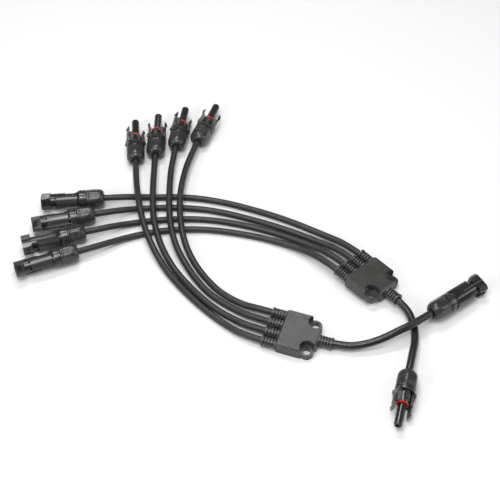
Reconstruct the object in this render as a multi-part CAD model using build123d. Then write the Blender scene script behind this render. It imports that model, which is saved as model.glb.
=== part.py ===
"""Pair of four-to-one solar branch leads. Millimetres, X right, Y away, Z up, floor at Z = 0."""
import math
import os
from build123d import *

# cables
branch_od = 6.2
trunk_od = 7.2
# cap nut, gland and shell root, shared by both kinds of connector
cap_d = 19.0
cap_flats = 18.2
cap_len = 17.5
cap_hole_gap = 0.7
run_gap = 0.1
body_gap = 0.5
thread_r = 6.9
thread_start = 7.0
gland_depth = 8.6
shell_wall = 1.7
collar_r = 9.2
# long pin-contact connector
plug_len = 61.5
plug_collar = 6.0
plug_barrel_r = 6.6
plug_panel_r = 9.3
plug_front = 9.0
plug_half_w = 9.6
plug_half_h = 7.1
pin_r = 2.0
pin_recess = 8.0
# slim socket-contact connector
socket_shoulder = 33.0
nose_len = 23.0
nose_r = 3.8
nose_gap = 0.4
seat_depth = 4.0
ring_section = 1.7
ring_land = 0.45
ring_squeeze = 0.03
socket_barrel_r = 6.4
shoulder_r = 5.6
socket_clear = 0.05
latch_pivot = 23.7
latch_pivot_y = 8.35
latch_tip = 44.8
wing_half = 5.6
# moulded junction box
box_len = 36.0
box_w = 42.0
box_h = 12.0
lid_bevel = 1.4
inlet_pitch = 11.0
relief_len = 13.6
relief_wall = 1.6
relief_cut = 1.25
trunk_relief_len = 13.2
trunk_relief_wall = 1.7
ear_x = 28.5
ear_y = 14.5
ear_r = 6.2
ear_hole_r = 4.0
ear_h = 5.6
low_roll = 8.0

# sizes that follow from the ones above
cap_r = cap_d / 2
gland_r = thread_r - shell_wall
gland_end = thread_start + gland_depth
plug_nose_r = nose_r + nose_gap
seat_r = nose_r + ring_land + ring_section + 0.15
crimp_r = pin_r + 0.6
arm_slot = (plug_barrel_r + 0.4, plug_half_w - 0.5)
nose_tip = socket_shoulder + nose_len
rise = branch_od / 6.2

# connector: rear point of the cap, yaw, nose-down pitch, roll and kind
connectors = {
    "low1": ((-142.7, 63.0, cap_r + 0.6), 184.9, 0.0, 38.0, "plug"),
    "low2": ((-150.4, 42.1, cap_r + 0.6), 192.7, 0.0, 48.0, "plug"),
    "low3": ((-157.8, 19.4, cap_r + 0.6), 196.4, 0.0, 14.0, "plug"),
    "low4": ((-162.9, -5.0, cap_r + 0.6), 200.8, 0.0, 48.0, "plug"),
    "low5": ((142.5, -141.3, cap_r), -104.2, 0.0, -28.0, "socket"),
    "up1": ((-114.6, 113.2, cap_r), 93.5, 0.0, 28.0, "socket"),
    "up2": ((-95.1, 121.4, cap_r), 89.3, 0.0, -5.0, "socket"),
    "up3": ((-74.6, 131.9, cap_r + 0.5), 81.3, 0.0, 36.0, "socket"),
    "up4": ((-52.8, 139.3, cap_r), 70.1, 0.0, 12.0, "socket"),
    "up5": ((168.3, -78.7, cap_r + 2.7), 36.6, 3.4, 8.0, "plug"),
}
low_tilt = math.radians(low_roll)
low_box_z = box_h / 2 * math.cos(low_tilt) + box_w / 2 * math.sin(low_tilt)
boxes = {
    "low": ((105.2, -26.0, low_box_z), -46.0, -low_roll),
    "up": ((30.3, -93.2, box_h / 2), -18.5, 0.0),
}

# free points of each cable between the connector and the box
courses = {
    "low1": [
        (-98.8, 69.5, 3.2), (-63.3, 70.5, 3.1), (-28.3, 64.5, 3.1), (6.7, 53, 3.1),
        (39.7, 39.5, 3.1), (73.7, 21, 3.4),
    ],
    "low2": [
        (-105.3, 55, 3.2), (-70.3, 56.7, 3.1), (-34.3, 52.8, 3.1), (3.7, 41, 3.1),
        (36.7, 28.3, 3.1), (68.7, 11.5, 4.4),
    ],
    "low3": [
        (-114.3, 36, 3.2), (-78.3, 41.5, 3.1), (-40.3, 41.3, 3.1), (-2.3, 33.3, 3.1),
        (29.7, 22.5, 3.1), (61.7, 6, 5.2),
    ],
    "low4": [
        (-118.3, 18, 3.2), (-82.3, 27.5, 3.1), (-44.3, 29, 3.1), (-7.3, 23, 3.1),
        (22.7, 14.8, 3.1), (51.7, 1.5, 6),
    ],
    "low5": [
        (151.9, -84, 5.2), (152.3, -102.5, 5.2),
    ],
    "up1": [
        (-108.9, 61, 14.2), (-103.6, 33, 12.8), (-93.3, 4, 9), (-78.1, -24.3, 4.6),
        (-57.5, -50.2, 3.2), (-38.8, -70, 3.2), (-20.8, -86, 3.6),
    ],
    "up2": [
        (-94.9, 66, 11.4), (-92.9, 36, 11), (-85.9, 7.2, 9), (-71.5, -21.3, 4.6),
        (-51.6, -46.3, 3.2), (-34.3, -64.5, 3.2), (-16.9, -77.5, 3.6),
    ],
    "up3": [
        (-78.7, 72, 11), (-77.7, 42, 11), (-71.9, 8.5, 9), (-58.8, -19, 4.6), (-42.3, -44, 3.2),
        (-27.8, -57.5, 3.2), (-12.3, -68.5, 3.6),
    ],
    "up4": [
        (-67.5, 78, 11), (-67.7, 43, 11), (-62.2, 8, 9), (-49.8, -19, 4.6), (-32.3, -42.5, 3.2),
        (-18.3, -54.5, 3.2), (-4.3, -63, 3.6),
    ],
    "up5": [
        (104.2, -110.5, 7), (121.2, -106, 9.8), (137.2, -98.6, 13),
    ],
}
# straight lead of cable behind each cap
leads = {
    "low1": 20, "low2": 20, "low3": 20, "low4": 20, "low5": 19.6,
    "up1": 22, "up2": 22, "up3": 22, "up4": 22, "up5": 22,
}


def cyl(x0, x1, r, y=0.0, z=0.0):
    """Round bar along X."""
    return Pos((x0 + x1) / 2, y, z) * Cylinder(r, x1 - x0, rotation=(0, 90, 0))


def cone(x0, x1, r0, r1):
    """Taper along X."""
    return Pos((x0 + x1) / 2, 0, 0) * Cone(r0, r1, x1 - x0, rotation=(0, 90, 0))


def block(x0, x1, y0, y1, z0, z1):
    """Box between two corners."""
    return Pos((x0 + x1) / 2, (y0 + y1) / 2, (z0 + z1) / 2) * Box(x1 - x0, y1 - y0, z1 - z0)


def slab(points, z0, z1):
    """Prism of an outline in X and Y."""
    return extrude(Pos(0, 0, z0) * make_face(Polyline(*points, close=True)), z1 - z0)


def both_sides(shape):
    """The shape and its mirror image across the XZ plane."""
    return shape + mirror(shape, Plane.XZ)


def place(frame, shape, name):
    """Move a shape to its frame and write it out."""
    moved = frame * shape
    moved.label = name
    export_step(moved, f"parts/{name}.step")
    return moved


def connector_frame(tag):
    """Frame of one connector: origin at the cap's rear, X to the mating end."""
    origin, yaw, pitch, roll, kind = connectors[tag]
    return Pos(*origin) * Rot(0, 0, yaw) * Rot(0, pitch, 0) * Rot(roll, 0, 0)


def box_frame(side):
    """Frame of one junction box: origin on the inlet edge at mid height, X to the trunk."""
    origin, yaw, roll = boxes[side]
    return Pos(*origin) * Rot(0, 0, yaw) * Rot(roll, 0, 0)


def at(frame, x, y=0.0, z=0.0):
    """A point given in a frame, as a vector."""
    return (frame * Pos(x, y, z)).position


def make_cap(cable_r):
    """Cap nut: softened hexagon, domed rear, smooth bore over the shell's thread."""
    profile = [
        (0, 0), (0, cap_r * 0.66), (cap_len * 0.06, cap_r * 0.84), (cap_len * 0.16, cap_r * 0.95),
        (cap_len * 0.3, cap_r), (cap_len - 0.6, cap_r), (cap_len, cap_r - 0.5), (cap_len, 0),
    ]
    turned = revolve(make_face(Polyline(*profile, close=True)), Axis.X)
    hexagon = RegularPolygon(cap_flats / 2, 6, major_radius=False)
    prism = extrude(Plane.YZ * hexagon, cap_len)
    shape = turned & prism
    shape -= cyl(-1, 4, cable_r + cap_hole_gap)
    shape -= cyl(thread_start - 3.4, cap_len + 1, thread_r + run_gap)
    return shape


def make_collet(cable_r):
    """Clamping collet: flange behind the thread and slit fingers inside the gland bore."""
    start = thread_start - 3.0
    shape = cyl(start, thread_start - 0.4, thread_r - 0.7)
    shape += cyl(thread_start - 0.5, thread_start + 4.6, gland_r - run_gap)
    shape -= cyl(start - 1, thread_start + 6, cable_r + run_gap)
    for turn in (0, 60, 120):
        shape -= Rot(turn, 0, 0) * block(thread_start + 1, thread_start + 6, -7, 7, -0.4, 0.4)
    return shape


def make_seal(cable_r):
    """Rubber gland seal between cable and shell."""
    return cyl(thread_start + 5.0, gland_end, gland_r) - cyl(thread_start, gland_end + 1, cable_r)


def shell_root(collar_end):
    """Threaded tail and collar common to both shells."""
    shape = cyl(thread_start, cap_len + body_gap + 0.1, thread_r)
    shape += cyl(cap_len + body_gap, collar_end, collar_r)
    shape -= cyl(cap_len + 1.6, cap_len + 2.3, collar_r + 1) - cyl(cap_len + 1, cap_len + 3, collar_r - 0.5)
    return shape


def make_plug_shell():
    """Long shell: barrel, four side fins, slotted front block and a stepped mouth."""
    collar_end = cap_len + body_gap + plug_collar
    front = plug_len - plug_front
    notch = front - 4.5
    shape = shell_root(collar_end)
    shape += cone(collar_end, collar_end + 5, collar_r - 0.2, plug_barrel_r)
    shape += cyl(collar_end, plug_len, plug_barrel_r)
    for up in (1, -1):
        low, high = sorted((up * 4.3, up * 5.3))
        shape += both_sides(block(collar_end, notch, 3, plug_half_w - 1.6, low, high))
        low, high = sorted((up * 5, up * 7.3))
        shape += block(collar_end + 14, plug_len, -0.7, 0.7, low, high)
    panel = cyl(collar_end + 2, notch - 1.5, plug_panel_r)
    shape += panel & block(collar_end + 1, notch, -10, 10, -4.4, 4.4)
    head = slab([
        (front, -plug_half_w + 1.0), (front + 3.5, -plug_half_w), (plug_len, -plug_half_w),
        (plug_len, plug_half_w), (front + 3.5, plug_half_w), (front, plug_half_w - 1.0),
    ], -plug_half_h, plug_half_h)
    head = chamfer(head.edges().filter_by(Axis.X), 2.8)
    shape += head
    slot = block(front - 1, plug_len + 1, arm_slot[0], arm_slot[1], -3.3, 3.3)
    window = block(front + 2.4, plug_len - 2.2, arm_slot[0], plug_half_w + 1, -2.7, 2.7)
    shape -= both_sides(slot + window)
    shape -= cyl(thread_start - 1, gland_end, gland_r)
    shape -= cyl(gland_end - 1, plug_len - pin_recess - 16.0, crimp_r)
    shape -= cyl(plug_len - pin_recess - 16.5, plug_len, plug_nose_r)
    shape -= cyl(plug_len - seat_depth, plug_len + 1, seat_r)
    return shape


def make_pin():
    """Crimped pin contact, its tip set back inside the mouth."""
    tip = plug_len - pin_recess
    shape = cyl(gland_end, tip - 16.0, crimp_r)
    shape += cyl(gland_end + 4, tip - 1.0, pin_r)
    shape += cone(tip - 1.0, tip, pin_r, pin_r - 0.8)
    return shape


def make_socket_shell():
    """Slim shell: short barrel with hinge lugs, shoulder and long round nose."""
    collar_end = latch_pivot - 1.7
    shape = shell_root(collar_end)
    shape += cyl(collar_end, socket_shoulder - 2.6, socket_barrel_r)
    shape += cone(socket_shoulder - 2.7, socket_shoulder, socket_barrel_r, shoulder_r)
    shape += cyl(socket_shoulder - 1, nose_tip - 1.2, nose_r)
    shape += cone(nose_tip - 1.2, nose_tip, nose_r, nose_r - 0.6)
    shape += cyl(socket_shoulder - 1, socket_shoulder + ring_section + 0.2, nose_r + ring_land)
    for up in (1, -1):
        low, high = sorted((up * 4.3, up * 5.5))
        shape += both_sides(block(collar_end - 0.5, latch_pivot + 1.6, 5.0, latch_pivot_y + 0.9, low, high))
        low, high = sorted((up * 5, up * 7.6))
        shape += block(collar_end, socket_shoulder - 3, -1.6, 1.6, low, high)
    pivot_hole = Pos(latch_pivot, latch_pivot_y, 0) * Cylinder(0.7, 14)
    shape -= both_sides(pivot_hole)
    shape -= cyl(thread_start - 1, gland_end, gland_r)
    shape -= cyl(gland_end - 1, nose_tip + 1, crimp_r)
    return shape


def make_socket_contact():
    """Crimped socket contact, bored for the pin."""
    end = nose_tip - 1.6
    shape = cyl(gland_end, end, crimp_r)
    shape -= cyl(end - 17.0, end + 1, pin_r + socket_clear)
    return shape


def make_ring():
    """Red sealing ring seated against the shoulder."""
    ring = Circle(ring_section / 2)
    inward = ring_section / 2 - ring_squeeze
    middle = Pos(socket_shoulder + inward, nose_r + ring_land + inward, 0)
    return revolve(middle * ring, Axis.X)


def make_latch():
    """Latch arm on the +Y side, with pivot stubs, wing, prong and barb."""
    root = latch_pivot - 1.0
    inner = latch_pivot_y - 0.85
    outer = latch_pivot_y + 0.75
    wing = block(root + 0.3, socket_shoulder - 5, inner, outer, -4.0, 4.0)
    arc = cyl(latch_pivot + 2.1, socket_shoulder + 1.2, outer + 0.2) - cyl(20, nose_tip, inner)
    wing += arc & block(20, nose_tip, 2, outer + 1, -wing_half, wing_half)
    prong = slab([
        (socket_shoulder, inner), (latch_tip - 1.6, inner + 0.3), (latch_tip, inner + 0.8),
        (latch_tip - 3.8, outer + 0.9), (latch_tip - 3.8, outer - 0.2), (socket_shoulder, outer - 0.1),
    ], -2.4, 2.4)
    stub = Pos(latch_pivot, latch_pivot_y, 0) * Cylinder(0.64, 10.6)
    return wing + prong + stub


def make_box(splice):
    """Moulded box: bevelled lid edge, two low ears, slotted cable reliefs."""
    half = box_h / 2
    cut = box_w / 2 - 9.0
    outline = [
        (0, -box_w / 2), (box_len - cut, -box_w / 2), (box_len, -9),
        (box_len, 9), (box_len - cut, box_w / 2), (0, box_w / 2),
    ]
    shape = slab(outline, -half, half)
    shape = chamfer(shape.faces().sort_by(Axis.Z)[-1].edges(), lid_bevel)
    for side in (1, -1):
        spot = (ear_x, side * ear_y)
        shape -= Pos(*spot, -half + ear_h + box_h / 2) * Cylinder(ear_r + 0.9, box_h)
        shape += Pos(*spot, -half + ear_h / 2) * Cylinder(ear_r, ear_h)
        shape -= Pos(*spot, -half + ear_h / 2) * Cylinder(ear_hole_r, ear_h + 2)
    shape += relief(-relief_len, 0.5, branch_od / 2 + relief_wall)
    trunk_sleeve = relief(-box_len - trunk_relief_len, -box_len + 0.5, trunk_od / 2 + trunk_relief_wall, True)
    shape += mirror(trunk_sleeve, Plane.YZ)
    for y in inlet_rows():
        shape -= cyl(-relief_len - 1, 6, branch_od / 2, y)
    shape -= cyl(28, box_len + trunk_relief_len + 1, trunk_od / 2)
    for x, y in ((5, 15), (5, 0), (5, -15), (18.5, 15), (18.5, -15)):
        shape -= Pos(x, y, half) * Cylinder(0.9, 1.2)
    return shape - splice


def inlet_rows():
    """Sideways position of the four inlets, first one on +Y."""
    return [inlet_pitch * k for k in (1.5, 0.5, -0.5, -1.5)]


def relief(x0, x1, r, single=False):
    """Strain relief sleeves with slots across the top and bottom."""
    shape = None
    for y in [0.0] if single else inlet_rows():
        sleeve = cyl(x0 + 1.6, x1, r, y) + cyl(x0, x0 + 1.7, r + 0.3, y)
        pitch = (x1 - x0 - 3.2) / 4
        for k in range(4):
            start = x0 + 2.6 + k * pitch
            for up in (1, -1):
                low, high = sorted((up * (r - relief_cut), up * (r + 1)))
                sleeve -= block(start, start + pitch * 0.5, y - r * 0.72, y + r * 0.72, low, high)
        shape = sleeve if shape is None else shape + sleeve
    return shape


def make_splice():
    """Metal bus inside the box, joining four branch conductors to the trunk."""
    shape = block(11, 22, -inlet_pitch * 1.5 - 2, inlet_pitch * 1.5 + 2, -1.6, 1.6)
    for y in inlet_rows():
        shape += cyl(6, 12, 1.4, y)
    return shape + cyl(21, 28, 1.9)


def course(tag):
    """All points of one cable, from the gland to the splice."""
    side = "low" if tag.startswith("low") else "up"
    home = connector_frame(tag)
    box = box_frame(side)
    number = int(tag[-1])
    middle = [(x, y, z * rise) for x, y, z in courses[tag]]
    head = [at(home, gland_end), at(home, -leads[tag])]
    if number == 5:
        out = box_len + trunk_relief_len
        tail = [at(box, 28), at(box, out + 8.6)]
        return tail + [Vector(*p) for p in middle] + head[::-1]
    row = inlet_rows()[number - 1] if side == "low" else inlet_rows()[4 - number]
    tail = [at(box, -relief_len - 14, row), at(box, 6, row)]
    return head + [Vector(*p) for p in middle] + tail


def make_cable(tag, radius):
    """Round cable along its course, with an arc at every corner."""
    points = [Vector(*p) if isinstance(p, tuple) else p for p in course(tag)]
    radii = []
    for before, here, after in zip(points, points[1:], points[2:]):
        a = here - before
        b = after - here
        half_turn = math.radians(a.get_angle(b)) / 2
        radii.append(0.45 * min(a.length, b.length) / math.tan(half_turn))
    path = FilletPolyline(*points, radius=radii)
    tube = sweep(Plane(origin=path @ 0, z_dir=path % 0) * Circle(radius), path=path)
    straight = math.pi * radius ** 2 * path.length
    ratio = tube.volume / straight
    print(f"{tag} cable: length {path.length:.1f}, least bend {min(radii):.1f}, volume ratio {ratio:.4f}")
    print("  points", [tuple(round(v, 1) for v in tuple(p)) for p in points])
    print("  radii", [round(r, 1) for r in radii])
    return tube


def main():
    """Build every piece and write one file each."""
    os.makedirs("parts", exist_ok=True)
    contacts = {"low": [], "up": []}
    seals = {"low": [], "up": []}
    rings = {"low": [], "up": []}
    made = []
    here = Pos(0, 0, 0)
    shells = {"plug": make_plug_shell(), "socket": make_socket_shell()}
    inners = {"plug": make_pin(), "socket": make_socket_contact()}
    ring = make_ring()
    latch = make_latch()
    latch_pair = {"latch_a": latch, "latch_b": mirror(latch, Plane.XZ)}
    gland = {}
    for radius in (branch_od / 2, trunk_od / 2):
        gland[radius] = (make_cap(radius), make_collet(radius), make_seal(radius))
    for tag, (origin, yaw, pitch, roll, kind) in connectors.items():
        side = "low" if tag.startswith("low") else "up"
        radius = trunk_od / 2 if tag.endswith("5") else branch_od / 2
        frame = connector_frame(tag)
        cap, collet, seal = gland[radius]
        made.append(place(frame, shells[kind], f"{tag}_shell"))
        made.append(place(frame, cap, f"{tag}_cap"))
        made.append(place(frame, collet, f"{tag}_collet"))
        contacts[side].append(frame * inners[kind])
        seals[side].append(frame * seal)
        if kind == "socket":
            rings[side].append(frame * ring)
            for name, arm in latch_pair.items():
                made.append(place(frame, arm, f"{tag}_{name}"))
        made.append(place(here, make_cable(tag, radius), f"{tag}_cable"))
    splice = make_splice()
    box = make_box(splice)
    for side in ("low", "up"):
        made.append(place(box_frame(side), splice, f"{side}_splice"))
        made.append(place(box_frame(side), box, f"{side}_box"))
        made.append(place(here, Compound(contacts[side]), f"{side}_contacts"))
        made.append(place(here, Compound(seals[side]), f"{side}_seals"))
        made.append(place(here, Compound(rings[side]), f"{side}_rings"))
    hard = [m for m in made if not m.label.endswith("_cable")]
    bounds = Compound(hard).bounding_box()
    print("nodes", len(made), "hard parts from", bounds.min, "to", bounds.max)
    for m in made:
        if not m.is_valid:
            print("not valid:", m.label)


main()
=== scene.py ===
import math
import bmesh
import bpy
from mathutils import Matrix, Vector


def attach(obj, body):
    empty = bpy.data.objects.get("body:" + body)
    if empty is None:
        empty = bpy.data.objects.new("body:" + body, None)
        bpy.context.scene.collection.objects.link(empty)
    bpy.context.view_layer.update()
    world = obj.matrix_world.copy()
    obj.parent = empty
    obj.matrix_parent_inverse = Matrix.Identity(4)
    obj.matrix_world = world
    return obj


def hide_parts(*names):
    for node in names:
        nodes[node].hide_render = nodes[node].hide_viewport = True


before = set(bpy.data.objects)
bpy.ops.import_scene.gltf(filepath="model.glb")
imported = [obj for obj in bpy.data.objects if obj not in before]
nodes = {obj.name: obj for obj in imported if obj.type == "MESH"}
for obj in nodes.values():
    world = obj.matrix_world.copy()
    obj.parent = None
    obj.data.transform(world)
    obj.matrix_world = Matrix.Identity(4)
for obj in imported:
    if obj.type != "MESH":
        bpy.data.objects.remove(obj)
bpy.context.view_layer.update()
mm = 0.001
print("frame loaded,", len(nodes), "nodes")


# where things lie, in millimetres and degrees
# rear point of each cap nut, then yaw, nose-down pitch and roll
connectors = {
    "low1": {"rear": (-142.7, 63.0, 10.1), "turn": (184.9, 0.0, 38.0), "kind": "long"},
    "low2": {"rear": (-150.4, 42.1, 10.1), "turn": (192.7, 0.0, 48.0), "kind": "long"},
    "low3": {"rear": (-157.8, 19.4, 10.1), "turn": (196.4, 0.0, 14.0), "kind": "long"},
    "low4": {"rear": (-162.9, -5.0, 10.1), "turn": (200.8, 0.0, 48.0), "kind": "long"},
    "low5": {"rear": (142.5, -141.3, 9.5), "turn": (-104.2, 0.0, -28.0), "kind": "slim"},
    "up1": {"rear": (-114.6, 113.2, 9.5), "turn": (93.5, 0.0, 28.0), "kind": "slim"},
    "up2": {"rear": (-95.1, 121.4, 9.5), "turn": (89.3, 0.0, -5.0), "kind": "slim"},
    "up3": {"rear": (-74.6, 131.9, 10.0), "turn": (81.3, 0.0, 36.0), "kind": "slim"},
    "up4": {"rear": (-52.8, 139.3, 9.5), "turn": (70.1, 0.0, 12.0), "kind": "slim"},
    "up5": {"rear": (168.3, -78.7, 12.2), "turn": (36.6, 3.4, 8.0), "kind": "long"},
}
# middle of each junction box, then yaw and roll
boxes = {
    "low": {"middle": (105.2, -26.0, 8.865), "yaw": -46.0, "roll": -8.0},
    "up": {"middle": (30.3, -93.2, 6.0), "yaw": -18.5, "roll": 0.0},
}


def turned(angle, axis):
    return Matrix.Rotation(math.radians(angle), 4, axis)


def connectorPlace(tag):
    yaw, pitch, roll = connectors[tag]["turn"]
    home = Matrix.Translation(Vector(connectors[tag]["rear"]) * mm)
    return home @ turned(yaw, "Z") @ turned(pitch, "Y") @ turned(roll, "X")


def boxPlace(side):
    home = Matrix.Translation(Vector(boxes[side]["middle"]) * mm)
    return home @ turned(boxes[side]["yaw"], "Z") @ turned(boxes[side]["roll"], "X")


def spot(place, x, y=0.0, z=0.0):
    return place @ (Vector((x, y, z)) * mm)


def sideOf(tag):
    return "low" if tag.startswith("low") else "up"


# materials
noiseSpan = (0.3, 0.7)
edgeWearAndSheen = {"from": 0.52, "to": 0.62}  # how sharp an edge is where its wear and painted highlight start and are full


def startMaterial(name):
    material = bpy.data.materials.new(name)
    material.use_nodes = True
    tree = material.node_tree
    tree.nodes.clear()
    output = tree.nodes.new("ShaderNodeOutputMaterial")
    surface = tree.nodes.new("ShaderNodeBsdfPrincipled")
    tree.links.new(surface.outputs["BSDF"], output.inputs["Surface"])
    return material, tree, surface


def noiseNode(tree, coordinates, scale, detail=3.0, stretch=None):
    noise = tree.nodes.new("ShaderNodeTexNoise")
    noise.inputs["Scale"].default_value = scale
    noise.inputs["Detail"].default_value = detail
    if stretch:
        mapping = tree.nodes.new("ShaderNodeMapping")
        mapping.inputs["Scale"].default_value = stretch
        tree.links.new(coordinates, mapping.inputs["Vector"])
        coordinates = mapping.outputs["Vector"]
    tree.links.new(coordinates, noise.inputs["Vector"])
    return noise.outputs["Fac"]


def rampNode(tree, factor, low, high, dark, light):
    ramp = tree.nodes.new("ShaderNodeValToRGB")
    ramp.color_ramp.elements[0].position = low
    ramp.color_ramp.elements[1].position = high
    ramp.color_ramp.elements[0].color = (*dark, 1)
    ramp.color_ramp.elements[1].color = (*light, 1)
    tree.links.new(factor, ramp.inputs["Fac"])
    return ramp.outputs["Color"]


def spreadNode(tree, factor, low, high):
    # most of a noise lies between these two values
    spread = tree.nodes.new("ShaderNodeMapRange")
    spread.inputs["From Min"].default_value = noiseSpan[0]
    spread.inputs["From Max"].default_value = noiseSpan[1]
    spread.inputs["To Min"].default_value = low
    spread.inputs["To Max"].default_value = high
    tree.links.new(factor, spread.inputs["Value"])
    return spread.outputs["Result"]


def bumpNode(tree, height, strength, distance, before=None):
    bump = tree.nodes.new("ShaderNodeBump")
    bump.inputs["Strength"].default_value = strength
    bump.inputs["Distance"].default_value = distance
    tree.links.new(height, bump.inputs["Height"])
    if before:
        tree.links.new(before, bump.inputs["Normal"])
    return bump.outputs["Normal"]


# sharp convex edges are lightened: edge wear plus a painted highlight along the edges
def lightenEdges(tree, color, edge, amount):
    geometry = tree.nodes.new("ShaderNodeNewGeometry")
    wornAndLit = tree.nodes.new("ShaderNodeMapRange")
    wornAndLit.inputs["From Min"].default_value = edgeWearAndSheen["from"]
    wornAndLit.inputs["From Max"].default_value = edgeWearAndSheen["to"]
    wornAndLit.inputs["To Max"].default_value = amount
    mix = tree.nodes.new("ShaderNodeMix")
    mix.data_type = "RGBA"
    mix.inputs["B"].default_value = (*edge, 1)
    tree.links.new(geometry.outputs["Pointiness"], wornAndLit.inputs["Value"])
    tree.links.new(wornAndLit.outputs["Result"], mix.inputs["Factor"])
    tree.links.new(color, mix.inputs["A"])
    return mix.outputs["Result"]


plasticNoise = {
    "cloudDetail": 4, "grainDetail": 2, "speckDetail": 1, "cloudSpan": (0.35, 0.68),
    "speckSpan": (0.52, 0.72), "waveDepth": 0.15, "waveHeight": 0.0002, "grainHeight": 0.00006,
}


def mouldedPlastic(name, look):
    n = plasticNoise
    material, tree, surface = startMaterial(name)
    place = tree.nodes.new("ShaderNodeTexCoord").outputs["Object"]
    clouds = noiseNode(tree, place, look["cloudScale"], n["cloudDetail"])
    grain = noiseNode(tree, place, look["grainScale"], n["grainDetail"])
    color = rampNode(tree, clouds, *n["cloudSpan"], look["dark"], look["light"])
    if look.get("speck"):
        specks = noiseNode(tree, place, look["speckScale"], n["speckDetail"])
        tint = rampNode(tree, specks, *n["speckSpan"], (0, 0, 0), look["speck"])
        add = tree.nodes.new("ShaderNodeMix")
        add.data_type = "RGBA"
        add.blend_type = "ADD"
        add.inputs["Factor"].default_value = 1
        tree.links.new(color, add.inputs["A"])
        tree.links.new(tint, add.inputs["B"])
        color = add.outputs["Result"]
    color = lightenEdges(tree, color, look["edge"], look["edgeAmount"])
    waves = bumpNode(tree, clouds, n["waveDepth"], n["waveHeight"])
    normal = bumpNode(tree, grain, look["grainDepth"], n["grainHeight"], waves)
    tree.links.new(color, surface.inputs["Base Color"])
    tree.links.new(spreadNode(tree, clouds, *look["roughness"]), surface.inputs["Roughness"])
    tree.links.new(normal, surface.inputs["Normal"])
    surface.inputs["Specular IOR Level"].default_value = look["shine"]
    return material


# each look's edge colour is edge wear plus a painted highlight on sharp edges
capLook = {
    "dark": (0.020, 0.020, 0.0195), "light": (0.036, 0.036, 0.035), "edge": (0.14, 0.14, 0.135),
    "edgeAmount": 0.55, "cloudScale": 160, "grainScale": 2600, "grainDepth": 0.5,
    "roughness": (0.24, 0.36), "shine": 0.6,
}
shellLook = {
    "dark": (0.007, 0.007, 0.0068), "light": (0.014, 0.014, 0.0136), "edge": (0.13, 0.13, 0.126),
    "edgeAmount": 0.8, "cloudScale": 140, "grainScale": 5200, "grainDepth": 0.2,
    "roughness": (0.16, 0.28), "shine": 0.6,
}
latchLook = dict(shellLook, roughness=(0.34, 0.46))
boxLook = {
    "dark": (0.018, 0.018, 0.017), "light": (0.030, 0.029, 0.028), "edge": (0.12, 0.118, 0.112),
    "edgeAmount": 0.5, "cloudScale": 90, "grainScale": 1100, "grainDepth": 1.0,
    "roughness": (0.34, 0.44), "shine": 0.6, "speck": (0.055, 0.054, 0.05), "speckScale": 1000,
}
# darker plastic: painted shade for slot floors, bores and the lid's round holes
slotShadeLook = dict(boxLook, dark=(0.006, 0.006, 0.006), light=(0.012, 0.012, 0.012), speck=None)
colletLook = dict(shellLook, roughness=(0.45, 0.55))
sealLook = dict(boxLook, dark=(0.10, 0.10, 0.10), light=(0.14, 0.14, 0.135), roughness=(0.6, 0.7))


sheathNoise = {
    "streakDetail": 3, "streakSpan": (0.38, 0.7), "streakHeight": 0.0002,
    "scuffScale": 260, "scuffDetail": 5,
    "grainScale": 3800, "grainDetail": 2, "grainDepth": 0.25, "grainHeight": 0.00005,
}


def sheathMaterial(name, look):
    n = sheathNoise
    material, tree, surface = startMaterial(name)
    texture = tree.nodes.new("ShaderNodeTexCoord")
    streaks = noiseNode(tree, texture.outputs["UV"], 1.0, n["streakDetail"], look["streaks"])
    scuffs = noiseNode(tree, texture.outputs["Object"], n["scuffScale"], n["scuffDetail"])
    grain = noiseNode(tree, texture.outputs["Object"], n["grainScale"], n["grainDetail"])
    color = rampNode(tree, streaks, *n["streakSpan"], look["dark"], look["light"])
    soft = bumpNode(tree, streaks, look["streakDepth"], n["streakHeight"])
    normal = bumpNode(tree, grain, n["grainDepth"], n["grainHeight"], soft)
    tree.links.new(color, surface.inputs["Base Color"])
    tree.links.new(spreadNode(tree, scuffs, *look["roughness"]), surface.inputs["Roughness"])
    tree.links.new(normal, surface.inputs["Normal"])
    surface.inputs["Specular IOR Level"].default_value = look["shine"]
    return material


branchLook = {
    "dark": (0.012, 0.012, 0.013), "light": (0.030, 0.030, 0.031), "streaks": (6, 22, 1),
    "streakDepth": 0.12, "roughness": (0.36, 0.5), "shine": 0.45,
}
trunkLook = {
    "dark": (0.007, 0.007, 0.008), "light": (0.018, 0.018, 0.019), "streaks": (4, 18, 1),
    "streakDepth": 0.15, "roughness": (0.24, 0.36), "shine": 0.55,
}


ringLook = {
    "dark": (0.42, 0.008, 0.010), "light": (0.62, 0.016, 0.018),
    "cloudScale": 500, "cloudDetail": 3,
    "grainScale": 3000, "grainDetail": 2, "grainDepth": 0.2, "grainHeight": 0.00005,
    "roughness": (0.32, 0.45), "coat": 0.15,
}


def ringMaterial():
    look = ringLook
    material, tree, surface = startMaterial("redSilicone")
    place = tree.nodes.new("ShaderNodeTexCoord").outputs["Object"]
    clouds = noiseNode(tree, place, look["cloudScale"], look["cloudDetail"])
    color = rampNode(tree, clouds, *noiseSpan, look["dark"], look["light"])
    tree.links.new(color, surface.inputs["Base Color"])
    tree.links.new(spreadNode(tree, clouds, *look["roughness"]), surface.inputs["Roughness"])
    grain = noiseNode(tree, place, look["grainScale"], look["grainDetail"])
    normal = bumpNode(tree, grain, look["grainDepth"], look["grainHeight"])
    tree.links.new(normal, surface.inputs["Normal"])
    surface.inputs["Coat Weight"].default_value = look["coat"]
    return material


tinLook = {
    "dark": (0.55, 0.53, 0.50), "light": (0.78, 0.76, 0.72), "cloudScale": 900, "cloudDetail": 4,
    "grainDepth": 0.15, "grainHeight": 0.00005, "roughness": (0.22, 0.4),
}


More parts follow.
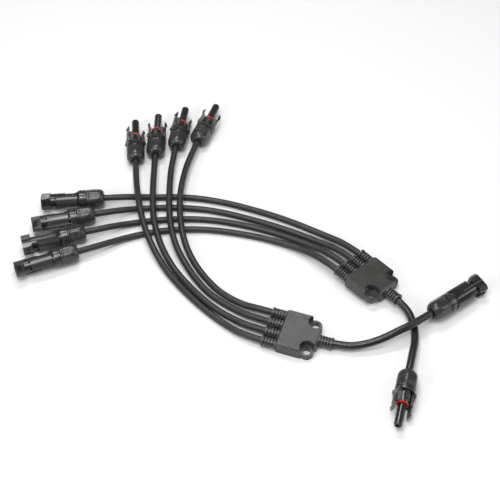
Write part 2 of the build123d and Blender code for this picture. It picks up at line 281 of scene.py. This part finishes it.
def tinnedMaterial():
    look = tinLook
    material, tree, surface = startMaterial("tinnedCopper")
    place = tree.nodes.new("ShaderNodeTexCoord").outputs["Object"]
    clouds = noiseNode(tree, place, look["cloudScale"], look["cloudDetail"])
    color = rampNode(tree, clouds, *noiseSpan, look["dark"], look["light"])
    tree.links.new(color, surface.inputs["Base Color"])
    tree.links.new(spreadNode(tree, clouds, *look["roughness"]), surface.inputs["Roughness"])
    normal = bumpNode(tree, clouds, look["grainDepth"], look["grainHeight"])
    tree.links.new(normal, surface.inputs["Normal"])
    surface.inputs["Metallic"].default_value = 1
    return material


capPlastic = mouldedPlastic("capPlastic", capLook)
shellPlastic = mouldedPlastic("shellPlastic", shellLook)
latchPlastic = mouldedPlastic("latchPlastic", latchLook)
boxPlastic = mouldedPlastic("boxPlastic", boxLook)
slotShadePlastic = mouldedPlastic("slotShadePlastic", slotShadeLook)
colletPlastic = mouldedPlastic("colletPlastic", colletLook)
sealRubber = mouldedPlastic("sealRubber", sealLook)
branchSheath = sheathMaterial("branchSheath", branchLook)
trunkSheath = sheathMaterial("trunkSheath", trunkLook)
redSilicone = ringMaterial()
tinnedCopper = tinnedMaterial()
print("materials made")


# camera
cameraView = {
    "stand": (0.0017, -0.7302, 0.9243), "aim": (0.0017, 0.005, 0.0), "lens": 87.84, "sensor": 36,
}
cameraData = bpy.data.cameras.new("camera")
camera = bpy.data.objects.new("camera", cameraData)
bpy.context.scene.collection.objects.link(camera)
camera.location = cameraView["stand"]
lookAlong = Vector(cameraView["aim"]) - Vector(cameraView["stand"])
camera.rotation_euler = lookAlong.to_track_quat("-Z", "Y").to_euler()
cameraData.lens = cameraView["lens"]
cameraData.sensor_width = cameraView["sensor"]
bpy.context.scene.camera = camera


# cables
# diameters, then how far each end reaches in, measured from a cap's rear or a box's back
cableSizes = {
    "branch": 6.2, "trunk": 7.2, "gland": 15.6, "reliefOut": 13.6, "inBox": 6.0, "pitch": 11.0,
    "straightOut": 14, "trunkIn": 28, "trunkOut": 49.2, "trunkStraight": 57.8,
    "alongSteps": 16, "aroundSteps": 7,
}
# free points of each route between the connector and the box
routes = {
    "low1": [(-98.8, 69.5, 3.2), (-63.3, 70.5, 3.1), (-28.3, 64.5, 3.1), (6.7, 53, 3.1),
             (39.7, 39.5, 3.1), (73.7, 21, 3.4)],
    "low2": [(-105.3, 55, 3.2), (-70.3, 56.7, 3.1), (-34.3, 52.8, 3.1), (3.7, 41, 3.1),
             (36.7, 28.3, 3.1), (68.7, 11.5, 4.4)],
    "low3": [(-114.3, 36, 3.2), (-78.3, 41.5, 3.1), (-40.3, 41.3, 3.1), (-2.3, 33.3, 3.1),
             (29.7, 22.5, 3.1), (61.7, 6, 5.2)],
    "low4": [(-118.3, 18, 3.2), (-82.3, 27.5, 3.1), (-44.3, 29, 3.1), (-7.3, 23, 3.1),
             (22.7, 14.8, 3.1), (51.7, 1.5, 6.0)],
    "low5": [(151.9, -84, 5.2), (152.3, -102.5, 5.2)],
    "up1": [(-108.9, 61, 14.2), (-103.6, 33, 12.8), (-93.3, 4, 9.0), (-78.1, -24.3, 4.6),
            (-57.5, -50.2, 3.2), (-38.8, -70, 3.2), (-20.8, -86, 3.6)],
    "up2": [(-94.9, 66, 11.4), (-92.9, 36, 11.0), (-85.9, 7.2, 9.0), (-71.5, -21.3, 4.6),
            (-51.6, -46.3, 3.2), (-34.3, -64.5, 3.2), (-16.9, -77.5, 3.6)],
    "up3": [(-78.7, 72, 11.0), (-77.7, 42, 11.0), (-71.9, 8.5, 9.0), (-58.8, -19, 4.6),
            (-42.3, -44, 3.2), (-27.8, -57.5, 3.2), (-12.3, -68.5, 3.6)],
    "up4": [(-67.5, 78, 11.0), (-67.7, 43, 11.0), (-62.2, 8, 9.0), (-49.8, -19, 4.6),
            (-32.3, -42.5, 3.2), (-18.3, -54.5, 3.2), (-4.3, -63, 3.6)],
    "up5": [(104.2, -110.5, 7.0), (121.2, -106, 9.8), (137.2, -98.6, 13.0)],
}
straightBehind = {"low1": 20, "low2": 20, "low3": 20, "low4": 20, "low5": 19.6,
                  "up1": 22, "up2": 22, "up3": 22, "up4": 22, "up5": 22}


def routePoints(tag):
    home, box = connectorPlace(tag), boxPlace(sideOf(tag))
    free = [Vector(point) * mm for point in routes[tag]]
    ending = [spot(home, -straightBehind[tag]), spot(home, cableSizes["gland"])]
    number = int(tag[-1])
    if number == 5:
        starting = [spot(box, cableSizes["trunkIn"]), spot(box, cableSizes["trunkStraight"])]
        return [*starting, *free, *ending], spot(box, cableSizes["trunkOut"])
    rank = number - 1 if sideOf(tag) == "low" else 4 - number
    across = cableSizes["pitch"] * (1.5 - rank)
    leaving = spot(box, -cableSizes["reliefOut"], across)
    straight = spot(box, -cableSizes["reliefOut"] - cableSizes["straightOut"], across)
    starting = [spot(box, cableSizes["inBox"], across), straight]
    return [*starting, *free[::-1], *ending], leaving


def layCable(tag):
    points, leaving = routePoints(tag)
    kind = "trunk" if tag.endswith("5") else "branch"
    diameter = cableSizes[kind] * mm
    curve = bpy.data.curves.new(tag + "_sheath", "CURVE")
    curve.dimensions = "3D"
    line = curve.splines.new("NURBS")
    line.points.add(len(points) - 1)
    for knot, point in zip(line.points, points):
        knot.co = (*point, 1)
    line.order_u = 3
    line.use_endpoint_u = True
    line.resolution_u = cableSizes["alongSteps"]
    curve.bevel_depth = diameter / 2
    curve.bevel_resolution = cableSizes["aroundSteps"]
    curve.use_fill_caps = True
    curve.materials.append(trunkSheath if kind == "trunk" else branchSheath)
    cable = bpy.data.objects.new(tag + "_sheath", curve)
    bpy.context.scene.collection.objects.link(cable)
    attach(cable, sideOf(tag) + "_harness")
    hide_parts(tag + "_cable")
    return cable, leaving, diameter


cables = {tag: layCable(tag) for tag in connectors}
print("cables laid")


# mesh helpers
def meshPiece(name, bm, material, place, body, slotName, *replaced):
    mesh = bpy.data.meshes.new(name)
    bmesh.ops.recalc_face_normals(bm, faces=bm.faces)
    bm.to_mesh(mesh)
    bm.free()
    return putPiece(name, mesh, material, place, body, slotName, *replaced)


def putPiece(name, mesh, material, place, body, slotName, *replaced):
    if not mesh.materials:
        mesh.materials.append(material)
    for face in mesh.polygons:
        face.use_smooth = True
    piece = bpy.data.objects.new(name, mesh)
    bpy.context.scene.collection.objects.link(piece)
    piece.matrix_world = place
    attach(piece, body)
    if replaced:
        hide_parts(*replaced)
    return piece


def joinRows(bm, here, there):
    count = len(here)
    for k in range(count):
        n = (k + 1) % count
        bm.faces.new((here[k], here[n], there[n], there[k]))


def addRings(bm, rings):
    # rings of equal count, joined in a closed loop
    rows = [[bm.verts.new(Vector(point) * mm) for point in ring] for ring in rings]
    for here, there in zip(rows, rows[1:] + rows[:1]):
        joinRows(bm, here, there)


def addRounding(piece, width, steps, sharpest):
    bevel = piece.modifiers.new("rounding", "BEVEL")
    bevel.width = width * mm
    bevel.segments = steps
    bevel.limit_method = "ANGLE"
    bevel.angle_limit = math.radians(sharpest)
    bevel.harden_normals = True


def softMin(values, softness):
    # the least value, eased where two are close
    least = min(values)
    shares = sum(math.exp((least - value) / softness) for value in values)
    return least - softness * math.log(shares)


# cap nuts
# six soft flats that fade into a dome round the cable; x runs from the rear to the front rim
capShape = {
    "radius": 9.45, "halfFlats": 8.84, "softness": 0.13, "swell": 0.08, "around": 120,
    "domeStart": 5.4, "domeLength": 8.0, "domePower": 1.7, "domeOver": 0.1,
    "grooveAt": 14.9, "grooveDepth": 0.22, "grooveWidth": 0.45,
    "bore": 7.02, "wall": 3.7, "holeGap": 0.7, "rearInset": 0.5, "boreRound": 0.3, "boreStep": 0.4,
    "domeSteps": [0.0, 0.1, 0.3, 0.6, 1.0, 1.5, 2.1, 2.8, 3.6, 4.5, 5.4, 6.3, 7.2],
    "bodySteps": [8.0, 8.5, 9.0, 10.5, 12.0, 13.2, 13.9, 14.3, 14.6, 14.9, 15.2, 15.5, 15.9,
                  16.4, 16.9],
    "rimSteps": [(17.2, 0.12), (17.4, 0.3), (17.5, 0.6)],
    "holeSteps": [(0.9, 0), (0.35, 0), (0.1, 0.08), (0.0, 0.35)],
    "mouthSteps": [(17.5, 0.35), (17.35, 0.06), (17.1, 0)],
}


def domeRadius(x):
    s = capShape
    if x >= s["domeLength"]:
        return s["radius"] + 2 * s["domeOver"]
    back = (s["domeLength"] - x) / s["domeLength"]
    rise = s["radius"] + s["domeOver"] - s["domeStart"]
    return s["domeStart"] + rise * math.sqrt(max(0, 1 - back ** s["domePower"]))


def capRing(x, shrink=0.0):
    s = capShape
    ring = []
    for k in range(s["around"]):
        angle = 2 * math.pi * k / s["around"]
        off = (math.degrees(angle) % 60) - 30
        flats = s["halfFlats"] / math.cos(math.radians(off))
        radius = softMin([domeRadius(x), flats, s["radius"]], s["softness"]) + s["swell"]
        groove = math.exp(-((x - s["grooveAt"]) / s["grooveWidth"]) ** 2)
        radius -= shrink + s["grooveDepth"] * groove
        ring.append((x, radius * math.cos(angle), radius * math.sin(angle)))
    return ring


def roundRing(x, radius):
    steps = range(capShape["around"])
    angles = [2 * math.pi * k / capShape["around"] for k in steps]
    return [(x, radius * math.cos(a), radius * math.sin(a)) for a in angles]


def capMesh(cableDiameter):
    s = capShape
    hole, bore, wall, soft = cableDiameter / 2 + s["holeGap"], s["bore"], s["wall"], s["boreRound"]
    rings = [roundRing(x, hole + wider) for x, wider in s["holeSteps"]]
    rings += [roundRing(0.0, s["domeStart"] - s["rearInset"])]
    rings += [capRing(x) for x in s["domeSteps"] + s["bodySteps"]]
    rings += [capRing(x, shrink) for x, shrink in s["rimSteps"]]
    rings += [roundRing(x, bore + wider) for x, wider in s["mouthSteps"]]
    rings += [roundRing(wall + s["boreStep"], bore), roundRing(wall, bore - soft)]
    rings += [roundRing(wall, hole + soft), roundRing(wall - soft, hole)]
    bm = bmesh.new()
    addRings(bm, rings)
    mesh = bpy.data.meshes.new("capNut")
    bmesh.ops.recalc_face_normals(bm, faces=bm.faces)
    bm.to_mesh(mesh)
    bm.free()
    return mesh


capMeshes = {size: capMesh(cableSizes[size]) for size in ("branch", "trunk")}
for tag in connectors:
    size = "trunk" if tag.endswith("5") else "branch"
    putPiece(tag + "_capNut", capMeshes[size], capPlastic, connectorPlace(tag),
             tag + "_cap_body", "cap", tag + "_cap")
print("cap nuts made")


# moulded pieces rounded from the frame
rounding = {"shell": 0.28, "latch": 0.22, "steps": 2, "sharpest": 32, "flat": 0.8, "weld": 0.01}


def roundedPiece(node, name, width, material, slotName, body):
    # facets of one flat face become one face, then the edges are rounded
    bm = bmesh.new()
    bm.from_mesh(nodes[node].data)
    bmesh.ops.remove_doubles(bm, verts=bm.verts, dist=rounding["weld"] * mm)
    flat = math.radians(rounding["flat"])
    bmesh.ops.dissolve_limit(bm, angle_limit=flat, verts=bm.verts, edges=bm.edges)
    mesh = bpy.data.meshes.new(name)
    bm.to_mesh(mesh)
    bm.free()
    piece = putPiece(name, mesh, material, Matrix.Identity(4), body, slotName, node)
    addRounding(piece, width, rounding["steps"], rounding["sharpest"])
    weighted = piece.modifiers.new("shading", "WEIGHTED_NORMAL")
    weighted.keep_sharp = True
    return piece


for tag in connectors:
    harness = sideOf(tag) + "_harness"
    roundedPiece(tag + "_shell", tag + "_housing", rounding["shell"],
                               shellPlastic, "shell", harness)
    if connectors[tag]["kind"] == "slim":
        for arm in ("latch_a", "latch_b"):
            name = tag + "_" + arm
            roundedPiece(name, name + "_arm", rounding["latch"],
                         latchPlastic, "latch", name + "_body")
print("housings and latches rounded")


# junction boxes
# x runs from the inlet side to the trunk, z from the middle of the box
junctionShape = {
    "length": 36.0, "halfWidth": 21.0, "halfHeight": 6.0, "neck": 9.0, "cornerRound": 2.6,
    "earX": 28.5, "earY": 14.5, "earRadius": 6.2, "earHole": 4.0, "earTop": -0.4,
    "recess": 7.1, "lidBevel": 1.4, "lidInner": 0.8, "lidOverlap": 0.6, "seat": 6.0, "seatGap": 0.02,
    "rounding": 0.35, "roundSteps": 3, "sharpest": 30, "arcSteps": 30, "shortestRun": 0.02,
    "inlets": (16.5, 5.5, -5.5, -16.5),
}
# dark rings on the lid: painted shade standing for shallow round holes
shadedHoleShape = {
    "middles": [(5, 15), (5, 0), (5, -15), (18.5, 15), (18.5, -15)],
    "radius": 0.95, "rim": 0.25, "rise": 0.14, "under": 0.02, "depth": 0.3, "around": 48,
}
sleeveShape = {
    "branch": {"from": -13.6, "to": 0.5, "radius": 4.7, "bore": 3.1, "floor": 3.3, "slots": 4},
    "trunk": {"from": 49.2, "to": 35.5, "radius": 5.3, "bore": 3.6, "floor": 3.85, "slots": 4},
    "flange": 1.7, "flangeRise": 0.35, "slotShare": 0.46, "rail": 0.3, "around": 72,
    "lip": 0.25, "slotWall": 0.05, "firstSlot": 0.9, "lastGap": 1.4, "slotShadeDepth": 0.3,
    "rounding": 0.12,
}


def arcAround(center, radius, start, end):
    steps = junctionShape["arcSteps"]
    angles = [math.radians(start + (end - start) * k / steps) for k in range(steps + 1)]
    return [(center[0] + radius * math.cos(a), center[1] + radius * math.sin(a)) for a in angles]


def junctionOutline(earArc, inset=0.0):
    # half of the plan: inlet corner, bay round the ear, slanted neck; then its mirror
    s = junctionShape
    slanted = s["length"] + s["neck"] - inset * math.sqrt(2)
    off = (slanted - s["earX"] - s["earY"]) / math.sqrt(2)
    swing = math.degrees(math.asin(off / earArc))
    wide, front = s["halfWidth"] - inset, s["length"] - inset
    hit = 180 + math.degrees(math.asin(min(1, (wide - s["earY"]) / earArc)))
    nearEar = arcAround((s["earX"], -s["earY"]), earArc, min(225 + swing, hit), 45 - swing)
    r = s["cornerRound"]
    lowCorner = arcAround((r, -s["halfWidth"] + r), r - inset, 180, 270)[::3]
    corner = min(slanted - wide, nearEar[0][0] - s["shortestRun"])
    half = [*lowCorner, (corner, -wide), *nearEar, (front, front - slanted)]
    return half + [(x, -y) for x, y in half[::-1]]


def addLayers(bm, layers):
    # outlines of equal count stacked in z, closed at both ends
    rows = [[bm.verts.new((x * mm, y * mm, z * mm)) for x, y in outline] for outline, z in layers]
    bm.faces.new(rows[0][::-1])
    bm.faces.new(rows[-1])
    for here, there in zip(rows, rows[1:]):
        joinRows(bm, here, there)


def sleeveRing(x, radius, floor, across):
    # a slot is cut to its floor above and below, and the rails at both sides stay
    s = sleeveShape
    ring = []
    for k in range(s["around"]):
        angle = 2 * math.pi * (k + 0.5) / s["around"]
        reach = floor if floor and abs(math.sin(angle)) > s["rail"] else radius
        ring.append((x, across + reach * math.cos(angle), reach * math.sin(angle)))
    return ring


def sleeveRings(kind, across):
    s = sleeveShape
    size = s[kind]
    way = 1 if size["to"] > size["from"] else -1
    span = abs(size["to"] - size["from"])
    radius, floor, flange, lip = size["radius"], size["floor"], s["flange"], s["lip"]
    rim = radius + s["flangeRise"]
    steps = [(0.0, rim - lip, 0), (lip, rim, 0), (flange, rim, 0), (flange + lip, radius, 0)]
    pitch = (span - flange - s["lastGap"]) / size["slots"]
    wide = pitch * s["slotShare"]
    for k in range(size["slots"]):
        start = flange + s["firstSlot"] + k * pitch
        steps += [(start, radius, 0), (start + s["slotWall"], radius, floor)]
        steps += [(start + wide, radius, floor), (start + (wide + s["slotWall"]), radius, 0)]
    steps += [(span, radius, 0)]
    rings = [sleeveRing(size["from"] + way * x, reach, low, across) for x, reach, low in steps]
    rings += [sleeveRing(size[end], size["bore"], 0, across) for end in ("to", "from")]
    return rings


def flatRing(middle, radius, z):
    around = shadedHoleShape["around"]
    x, y = middle
    angles = [2 * math.pi * k / around for k in range(around)]
    return [(x + radius * math.cos(a), y + radius * math.sin(a), z) for a in angles]


def ringStack(middle, profile):
    return [flatRing(middle, radius, z) for radius, z in profile]


def junctionMesh():
    s = junctionShape
    bm = bmesh.new()
    wall, top = junctionOutline(s["recess"]), junctionOutline(s["recess"], s["lidBevel"])
    flat = junctionOutline(s["recess"] + s["lidInner"], s["lidBevel"] + s["lidInner"])
    low, high = s["earTop"] - s["lidOverlap"], s["halfHeight"]
    addLayers(bm, [(wall, low), (wall, high - s["lidBevel"]), (top, high), (flat, high)])
    seat = junctionOutline(s["seat"])
    addLayers(bm, [(seat, -s["halfHeight"]), (seat, s["earTop"] - s["seatGap"])])
    for side in (1, -1):
        middle = (s["earX"], side * s["earY"])
        outer, hole, under, over = s["earRadius"], s["earHole"], -s["halfHeight"], s["earTop"]
        profile = [(hole, under), (outer, under), (outer, over), (hole, over)]
        addRings(bm, ringStack(middle, profile))
    return bm


def finishJunction(name, bm, side, edgeWidth, material=None):
    s = junctionShape
    piece = meshPiece(name, bm, material or boxPlastic, boxPlace(side), side + "_harness", "box")
    piece.data.set_sharp_from_angle(angle=math.radians(s["sharpest"]))
    if edgeWidth:
        addRounding(piece, edgeWidth, s["roundSteps"], s["sharpest"])
    return piece


def makeRelief(name, kind, side, across):
    bm = bmesh.new()
    addRings(bm, sleeveRings(kind, across))
    # faces sunk deeper than this get the darker plastic as painted shade in the slots and bore
    shallow = sleeveShape[kind]["radius"] - sleeveShape["slotShadeDepth"]
    for face in bm.faces:
        middle = face.calc_center_median() / mm
        if math.hypot(middle.y - across, middle.z) < shallow:
            face.material_index = 1
    relief = finishJunction(name, bm, side, sleeveShape["rounding"])
    relief.data.materials.append(slotShadePlastic)


def makeShadedHole(name, side, middle):
    # a small dark ring set into the lid: painted shade where a shallow round hole sits
    s = shadedHoleShape
    r, rim, top = s["radius"], s["rim"], junctionShape["halfHeight"]
    profile = [(r, top - s["depth"]), (r + rim, top - s["under"]),
               (r, top + s["rise"]), (r - rim, top - s["under"])]
    bm = bmesh.new()
    addRings(bm, ringStack(middle, profile))
    finishJunction(name, bm, side, 0, slotShadePlastic)


for side in boxes:
    junction = finishJunction(side + "_junction", junctionMesh(), side, junctionShape["rounding"])
    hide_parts(side + "_box")
    for number, across in enumerate(junctionShape["inlets"], 1):
        makeRelief(f"{side}_relief{number}", "branch", side, across)
    makeRelief(side + "_trunkRelief", "trunk", side, 0.0)
    for number, middle in enumerate(shadedHoleShape["middles"], 1):
        makeShadedHole(f"{side}_shadedHole{number}", side, middle)
print("junction boxes made")


# inner pieces keep their own shape
finishes = {"_collet": colletPlastic, "_seals": sealRubber, "_rings": redSilicone,
            "_contacts": tinnedCopper, "_splice": tinnedCopper}
for name, node in nodes.items():
    for ending, material in finishes.items():
        if name.endswith(ending):
            node.data.materials.clear()
            node.data.materials.append(material)
print("inner pieces finished")


# floor and light
floorLook = {
    "size": 8.0, "color": (0.86, 0.86, 0.86), "roughness": 0.6, "shine": 0.2,
    "cloudScale": 3, "cloudDetail": 2, "cloudShade": 0.006, "drop": 0.0001,
}
lights = {
    "overhead": {"stand": (-0.1, -0.3, 1.2), "aim": (0, 0, 0), "size": (0.65, 0.6), "power": 9.0},
    "back": {"stand": (-0.12, 0.6, 1.24), "aim": (0, -0.05, 0), "size": (0.7, 0.2), "power": 6.5},
    "frontLeft": {"stand": (-1.0, -0.8, 0.8), "aim": (0, 0, 0), "size": (0.5, 0.5), "power": 6.0},
    "right": {"stand": (1.1, -0.2, 0.6), "aim": (0, 0, 0), "size": (0.3, 0.8), "power": 2.5},
}
sky = {"color": (1, 1, 1), "strength": 0.26}


def makeFloor():
    half = floorLook["size"] / 2
    bm = bmesh.new()
    corners = [(-half, -half, 0), (half, -half, 0), (half, half, 0), (-half, half, 0)]
    bm.faces.new([bm.verts.new(corner) for corner in corners])
    mesh = bpy.data.meshes.new("floor")
    bm.to_mesh(mesh)
    bm.free()
    material, tree, surface = startMaterial("paleFloor")
    place = tree.nodes.new("ShaderNodeTexCoord").outputs["Object"]
    clouds = noiseNode(tree, place, floorLook["cloudScale"], floorLook["cloudDetail"])
    pale = floorLook["color"]
    shaded = tuple(part - floorLook["cloudShade"] for part in pale)
    color = rampNode(tree, clouds, *noiseSpan, shaded, pale)
    tree.links.new(color, surface.inputs["Base Color"])
    surface.inputs["Roughness"].default_value = floorLook["roughness"]
    surface.inputs["Specular IOR Level"].default_value = floorLook["shine"]
    mesh.materials.append(material)
    floor = bpy.data.objects.new("floor", mesh)
    bpy.context.scene.collection.objects.link(floor)
    floor.location = (0, 0, -floorLook["drop"])


def makeLight(name, setup):
    data = bpy.data.lights.new(name, "AREA")
    data.shape = "RECTANGLE"
    data.size, data.size_y = setup["size"]
    data.energy = setup["power"]
    lamp = bpy.data.objects.new(name, data)
    bpy.context.scene.collection.objects.link(lamp)
    lamp.location = setup["stand"]
    toward = Vector(setup["aim"]) - Vector(setup["stand"])
    lamp.rotation_euler = toward.to_track_quat("-Z", "Y").to_euler()


makeFloor()
for name, setup in lights.items():
    makeLight(name, setup)
world = bpy.data.worlds.new("studio")
bpy.context.scene.world = world
world.use_nodes = True
background = world.node_tree.nodes["Background"]
background.inputs["Color"].default_value = (*sky["color"], 1)
background.inputs["Strength"].default_value = sky["strength"]
bpy.context.scene.view_settings.view_transform = "Standard"
print("floor and light set")
